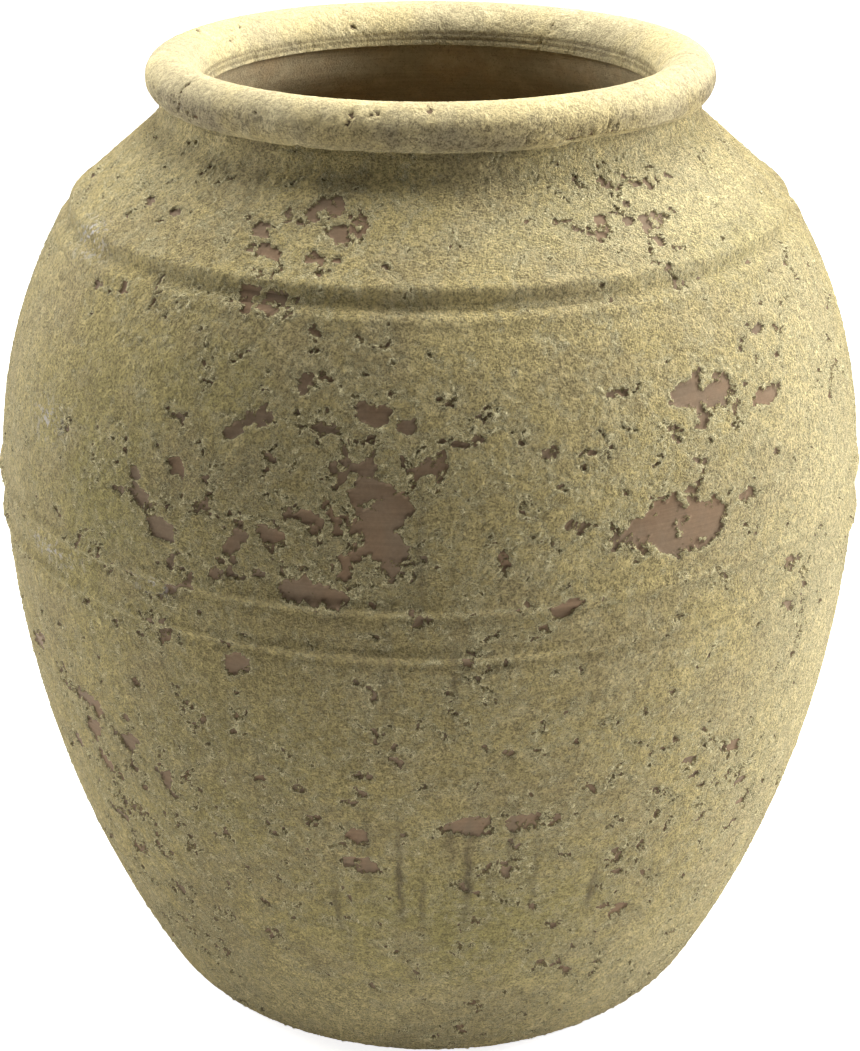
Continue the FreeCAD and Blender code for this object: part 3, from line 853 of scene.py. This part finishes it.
def relief_grid(name, sheet, tree, material, attributes, values):
    """The sheet's points after the tree's relief, as rows and columns."""
    rows, columns = sheet.points.shape[:2]
    piece = make_mesh(name, sheet.points.reshape(-1, 3), grid_faces(rows, columns, False))
    facings = sheet.facings()
    write(piece.data, "rest", sheet.points.reshape(-1, 3))
    write(piece.data, "facing", facings.reshape(-1, 3))
    for label, value in attributes.items():
        write(piece.data, label, value.ravel())
    mesh = relieved(piece, tree, material, values)
    moved = np.empty(rows * columns * 3, np.float32)
    mesh.vertices.foreach_get("co", moved)
    old = piece.data
    bpy.data.objects.remove(piece)
    bpy.data.meshes.remove(old)
    bpy.data.meshes.remove(mesh)
    return moved.reshape(rows, columns, 3).astype(float)


def coat_ring(name, sheet, moved, normals, rows, attributes, material, depth, back_rows):
    """A closed ring of the coat: its worked front, and a plain back a depth inside it."""
    low, high = rows
    back = np.linspace(high, low, back_rows).round().astype(int)
    facings = sheet.facings()
    inner = sheet.points[back] - depth * facings[back]
    points = np.concatenate([moved[low:high + 1], inner])
    faces = grid_faces(len(points), sheet.columns, True)
    piece = make_mesh(name, points.reshape(-1, 3), faces)
    mesh = piece.data
    chosen = np.r_[np.arange(low, high + 1), back]
    write(mesh, "rest", sheet.points[chosen].reshape(-1, 3))
    for label, value in attributes.items():
        write(mesh, label, value[chosen].ravel())
    front = sheet.along[low:high + 1]
    squeezed = front[-1] + depth + np.linspace(0, 4 * depth, back_rows)
    strips(mesh, sheet.columns, np.r_[front, squeezed, squeezed[-1] + depth])
    turned = np.concatenate([normals[low:high + 1], -facings[back]]).reshape(-1, 3)
    mesh.normals_split_custom_set_from_vertices(turned.astype(np.float32))
    mesh.materials.append(material)
    return piece


def join_frame(piece, nodes):
    """Fixes a piece to the frame: what it rides on and the nodes it stands for."""
    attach(piece, "root")
    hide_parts(*nodes)


class JAR_OT_body_coat(bpy.types.Operator):
    """Add the flaking coat of the body, from the heel to the rim"""

    bl_idname = "jar.body_coat"
    bl_label = "Body Coat"

    def execute(self, context):
        sizes, detail, tones = settings()
        sheet = Sheet(body_outline(sizes), detail.spacing, detail.columns, 0.9 * MM)
        height = sheet.line[:, 1:2]
        foot = np.exp(-((height - COAT_FOOT) / (4 * MM)) ** 2)
        tuck = np.exp(-((height - RIM_SEAT) / (9 * MM)) ** 2)
        bare = 0.21 * sheet.marks(chips(FLAKED), 1.7) + 0.062 * sheet.marks(WORN) - 0.02 + 0.05 * foot - 0.04 * tuck
        shape = {"bare": bare, "turned": turned_lines(sheet, sizes, detail)}
        tree = relief_tree("weathered_coat", ["Coat", "Lip", "Grain", "Wobble"], coat_height)
        material = get_material("flaking_coat", tones)
        values = {"Coat": 0.75 * sizes.coat, "Lip": detail.lip, "Grain": detail.grain, "Wobble": detail.wobble}
        moved = relief_grid("coat_sheet", sheet, tree, material, shape, values)
        normals = grid_normals(moved)
        marks = {
            "bare": bare,
            "moss": sheet.marks(MOSSY),
            "salt": sheet.marks(SALTY),
            "drip": sheet.marks(DRIPS, 1.3, 0.8 * MM),
            "highlight_and_pale_foot": sheet.marks(HIGHLIGHT_AND_PALE_FOOT),
            "shaded_undercoat": sheet.marks(SHADED_UNDERCOAT),
        }
        joints = np.linspace(0, len(sheet.line) - 1, detail.coat_rings + 1).round().astype(int)
        for number, rows in enumerate(zip(joints[:-1], joints[1:]), 1):
            piece = coat_ring(
                f"coat_{number}", sheet, moved, normals, rows, marks, material, 2 * MM, 6
            )
            join_frame(piece, ["body_coat"])
        return {"FINISHED"}


RIM_SCARS = [
    (33, 431, 8, 3, 0.55), (28, 431, 3, 6, 0.4), (-52, 432, 6, 3, 0.6), (150, 434, 9, 4, 0.9), (-121, 441, 6, 5, 0.8),
]
# A band round the roll's lower front, pitted by wear and with its colour left darker as painted shade, under a top
# painted paler as highlight.
RIM_WORN_AND_SHADED = [
    (10, 433, 90, 7, 1.0), (-50, 433, 70, 7, 0.8), (75, 433, 60, 7, 0.8), (140, 433, 90, 8, 1.0), (-130, 433, 90, 8, 1.0),
]


CRACKS = [
    (35, 434, 0.6, 3, 1), (37, 433, 0.5, 2.2, 0.9), (-127, 434, 0.6, 3, 0.9),
]


class JAR_OT_rim_coat(bpy.types.Operator):
    """Add the finer coat of the rolled rim"""

    bl_idname = "jar.rim_coat"
    bl_label = "Rim Coat"

    def execute(self, context):
        sizes, detail, tones = settings()
        sheet = Sheet(rim_outline(sizes), detail.spacing, detail.columns, 0.4 * MM)
        bare = 0.2 * sheet.marks(RIM_SCARS, 1.7) + 0.012 * sheet.marks(RIM_WORN_AND_SHADED) - 0.05
        inside = sheet.line[:, 0] < RIM_WIDEST - sizes.rim_curve
        level = RIM_SEAT + 2.6 * MM + 0.6 * MM * wave(sheet.azimuth, 4)
        lines = sum(
            np.exp(-0.5 * ((sheet.line[:, 1:2] - level[None] - lift) / (0.45 * MM)) ** 2) for lift in (0, 2.4 * MM)
        ) * inside[:, None]
        cracks = sheet.marks(CRACKS, 1.5, 0.4 * MM)
        sector = np.exp(-(((sheet.azimuth - math.radians(41)) / math.radians(15)) ** 6))
        brink = RIM_SEAT + 2.2 * MM + 0.8 * MM * wave(9 * sheet.azimuth, 6)
        under = np.clip((brink[None] - sheet.line[:, 1:2]) / (0.6 * MM), 0, 1) * ~inside[:, None]
        broken = sector[None] * (under - 0.35 * np.exp(-(((sheet.line[:, 1:2] - brink[None]) / (0.9 * MM) - 1) ** 2)))
        shape = {"bare": bare, "turned": -0.5 * MM * lines - 0.9 * MM * cracks - 1.4 * MM * broken}
        tree = relief_tree("weathered_coat", ["Coat", "Lip", "Grain", "Wobble"], coat_height)
        material = get_material("rubbed_rim", tones)
        values = {
            "Coat": 0.8 * sizes.coat, "Lip": 0.4 * detail.lip, "Grain": 0.5 * detail.grain, "Wobble": detail.wobble
        }
        moved = relief_grid("rim_sheet", sheet, tree, material, shape, values)
        marks = {"bare": bare, "worn_and_shaded": sheet.marks(RIM_WORN_AND_SHADED), "dark": np.clip(0.6 * lines + cracks, 0, 1)}
        rows = (0, len(sheet.line) - 1)
        piece = coat_ring("rim_wash", sheet, moved, grid_normals(moved), rows, marks, material, 2 * MM, 12)
        join_frame(piece, ["rim_coat"])
        return {"FINISHED"}


def between(line, low, high):
    """The part of an upward line between two heights, its ends at those heights exactly."""
    inside = line[(line[:, 1] > low + 0.1 * MM) & (line[:, 1] < high - 0.1 * MM)]
    ends = [[np.interp(level, line[:, 1], line[:, 0]), level] for level in (low, high)]
    return np.vstack([ends[:1], inside, ends[1:]])


def clay_ring(name, outer, inner, columns, spacing, material):
    """A closed ring of clay between a hidden outer line and a thrown inner one, both met upwards."""
    outer = spaced(outer, 5 * spacing)[0]
    sheet = Sheet(inner[::-1], spacing, columns)
    tree = relief_tree("thrown_clay", ["Rings", "Uneven"], clay_height)
    shown = np.ones(sheet.points.shape[:2])
    shown[0] = shown[-1] = 0
    values = {"Rings": 0.5 * MM, "Uneven": 0.6 * MM}
    moved = relief_grid(name + "_sheet", sheet, tree, material, {"shown": shown}, values)
    hidden = turned_grid(outer, columns)[0]
    points = np.concatenate([hidden, moved])
    piece = make_mesh(name, points.reshape(-1, 3), grid_faces(len(points), columns, True))
    rows = np.concatenate([outer, sheet.line, outer[:1]])
    strips(piece.data, columns, np.r_[0, np.cumsum(np.maximum(np.hypot(*np.diff(rows, axis=0).T), 1e-5))])
    piece.data.set_sharp_from_angle(angle=math.radians(50))
    piece.data.materials.append(material)
    return piece


def inset(line, depth):
    return line - depth * outward(line)


class JAR_OT_clay_rings(bpy.types.Operator):
    """Add the thrown rings of clay that the body is luted together from"""

    bl_idname = "jar.clay_rings"
    bl_label = "Clay Rings"

    def execute(self, context):
        sizes, detail, tones = settings()
        outer = inset(spaced(body_outline(sizes), MM, MM)[0], 2.3 * MM)
        inner = spaced(inner_outline(sizes)[::-1], MM, MM)[0]
        names = ["lower_wall", "belly_ring", "upper_wall", "shoulder_ring", "shoulder_wall", "neck_collar"]
        levels = [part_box(name)[0].z for name in names] + [RIM_SEAT]
        for name, low, high in zip(names, levels, levels[1:]):
            seen = name == "neck_collar"
            material = get_material("thrown_inside", tones)
            columns, spacing = (720, 1.2 * MM) if seen else (320, 2.4 * MM)
            piece = clay_ring(name + "_clay", between(outer, low, high), between(inner, low, high), columns, spacing, material)
            join_frame(piece, [name])
        roll = spaced(rim_outline(sizes), MM, 0.5 * MM)[0]
        roll = inset(roll, 2.3 * MM)
        roll = roll[roll[:, 1] > RIM_SEAT + 0.2 * MM]
        points = turned_grid(roll, 320)[0]
        material = get_material("fired_clay", tones)
        piece = make_mesh("rim_roll_clay", points.reshape(-1, 3), grid_faces(len(roll), 320, True))
        closed = np.vstack([roll, roll[:1]])
        strips(piece.data, 320, np.r_[0, np.cumsum(np.hypot(*np.diff(closed, axis=0).T))])
        piece.data.materials.append(material)
        join_frame(piece, ["rim_roll"])
        return {"FINISHED"}


class JAR_OT_base(bpy.types.Operator):
    """Add the base slab, with its heel and its wire-cut underside"""

    bl_idname = "jar.base"
    bl_label = "Base"

    def execute(self, context):
        sizes, detail, tones = settings()
        columns = 512
        heel = heel_arc(sizes, 0, 0)
        heel = heel[heel[:, 1] < FLOOR_TOP]
        hidden = heel - (0.8 * MM * np.clip((heel[:, 1:] - COAT_FOOT) / MM, 0, 1))
        floor = inner_outline(sizes)
        floor = floor[floor[:, 1] < FLOOR_TOP + 0.01 * MM]
        line = np.vstack([[(0, 0)], heel[:1], hidden[1:], [(floor[0, 0] if len(floor) > 1 else sizes.foot_radius, FLOOR_TOP)], [(0, FLOOR_TOP)]])
        line, along = spaced(line, 2.4 * MM, 0.5 * MM)
        line[0, 0] = line[-1, 0] = 0
        points, azimuth = turned_grid(line, columns)
        piece = make_mesh("base_slab_clay", points.reshape(-1, 3), grid_faces(len(line), columns, False))
        strips(piece.data, columns, along)
        piece.data.materials.append(get_material("fired_clay", tones))
        work = bmesh.new()
        work.from_mesh(piece.data)
        bmesh.ops.remove_doubles(work, verts=work.verts, dist=0.01 * MM)
        work.to_mesh(piece.data)
        work.free()
        join_frame(piece, ["base_slab"])
        return {"FINISHED"}


def soft_light(name, place, aim, size, power, tint=(1, 1, 1)):
    """A square soft light that looks from one place at another."""
    light = bpy.data.lights.new(name, "AREA")
    light.shape = "RECTANGLE"
    light.size, light.size_y = size
    light.energy = power
    light.color = tint
    lamp = bpy.data.objects.new(name, light)
    lamp.location = place
    lamp.rotation_euler = (Vector(aim) - Vector(place)).to_track_quat("-Z", "Y").to_euler()
    bpy.context.scene.collection.objects.link(lamp)


class JAR_OT_stage(bpy.types.Operator):
    """Add the camera, the pale floor and the soft studio light"""

    bl_idname = "jar.stage"
    bl_label = "Stage"

    def execute(self, context):
        tones = settings()[2]
        data = bpy.data.cameras.new("camera")
        data.lens, data.sensor_width = 78.06, 36.0
        camera = bpy.data.objects.new("camera", data)
        camera.location = 0, -1.018, 0.640
        camera.rotation_euler = math.pi / 2 - 0.3956, 0, 0
        context.scene.collection.objects.link(camera)
        context.scene.camera = camera
        context.scene.view_settings.view_transform = "Standard"
        floor = make_mesh("floor", *floor_sheet(4.0))
        material, wires, shader = new_material("studio_floor")
        shader.inputs["Base Color"].default_value = opaque(tones.floor)
        shader.inputs["Roughness"].default_value = 0.9
        shader.inputs["Emission Color"].default_value = opaque(tones.floor)
        seen = wires.node("ShaderNodeLightPath").outputs["Is Camera Ray"]
        glow = wires.math("MULTIPLY_ADD", seen, 0.72, 0.26)
        wires.tree.links.new(glow, shader.inputs["Emission Strength"])
        floor.data.materials.append(material)
        soft_light("right", (1.58, 0.14, 0.98), (0, 0, 0.24), (0.9, 1.3), 52)
        soft_light("left", (-1.48, 0.55, 0.75), (0, 0, 0.22), (0.9, 1.3), 32)
        soft_light("top", (0.2, 0.3, 1.85), (0, 0, 0.2), (1.0, 1.0), 48)
        world = bpy.data.worlds.new("studio")
        world.use_nodes = True
        tree = world.node_tree
        tree.nodes.clear()
        wires = Wires(tree)
        seen = wires.node("ShaderNodeLightPath").outputs["Is Camera Ray"]
        strength = wires.math("MULTIPLY_ADD", seen, 0.88, 0.12)
        sky = wires.node("ShaderNodeBackground", {"Color": (1, 1, 1, 1), "Strength": strength})
        wires.node("ShaderNodeOutputWorld", {"Surface": sky.outputs[0]})
        context.scene.world = world
        return {"FINISHED"}


def floor_sheet(reach):
    """A flat square of four points."""
    points = np.array([(-reach, -reach, 0), (reach, -reach, 0), (reach, reach, 0), (-reach, reach, 0)])
    return points, np.array([[0, 1, 2, 3]])


# ---- the add-on ----

class JAR_PT_panel(bpy.types.Panel):
    """The jar's settings and pieces"""

    bl_idname = "JAR_PT_panel"
    bl_label = "Storage Jar"
    bl_space_type = "VIEW_3D"
    bl_region_type = "UI"
    bl_category = "Jar"

    def draw(self, context):
        layout = self.layout
        for operator in OPERATORS:
            layout.operator(operator.bl_idname)
        for group in (context.scene.jar_sizes, context.scene.jar_detail, context.scene.jar_colours):
            column = layout.column()
            for name in group.__annotations__:
                column.prop(group, name)


GROUPS = {"jar_sizes": JarSizes, "jar_detail": JarDetail, "jar_colours": JarColours}
OPERATORS = [JAR_OT_body_coat, JAR_OT_rim_coat, JAR_OT_clay_rings, JAR_OT_base, JAR_OT_stage]


def register():
    for each in [*GROUPS.values(), *OPERATORS, JAR_PT_panel]:
        bpy.utils.register_class(each)
    for name, group in GROUPS.items():
        setattr(bpy.types.Scene, name, bpy.props.PointerProperty(type=group))


def unregister():
    for name in GROUPS:
        delattr(bpy.types.Scene, name)
    for each in [JAR_PT_panel, *OPERATORS[::-1], *reversed(GROUPS.values())]:
        bpy.utils.unregister_class(each)


def main():
    register()
    for operator in OPERATORS:
        getattr(bpy.ops.jar, operator.bl_idname.split(".")[1])()


if __name__ == "__main__":
    main()
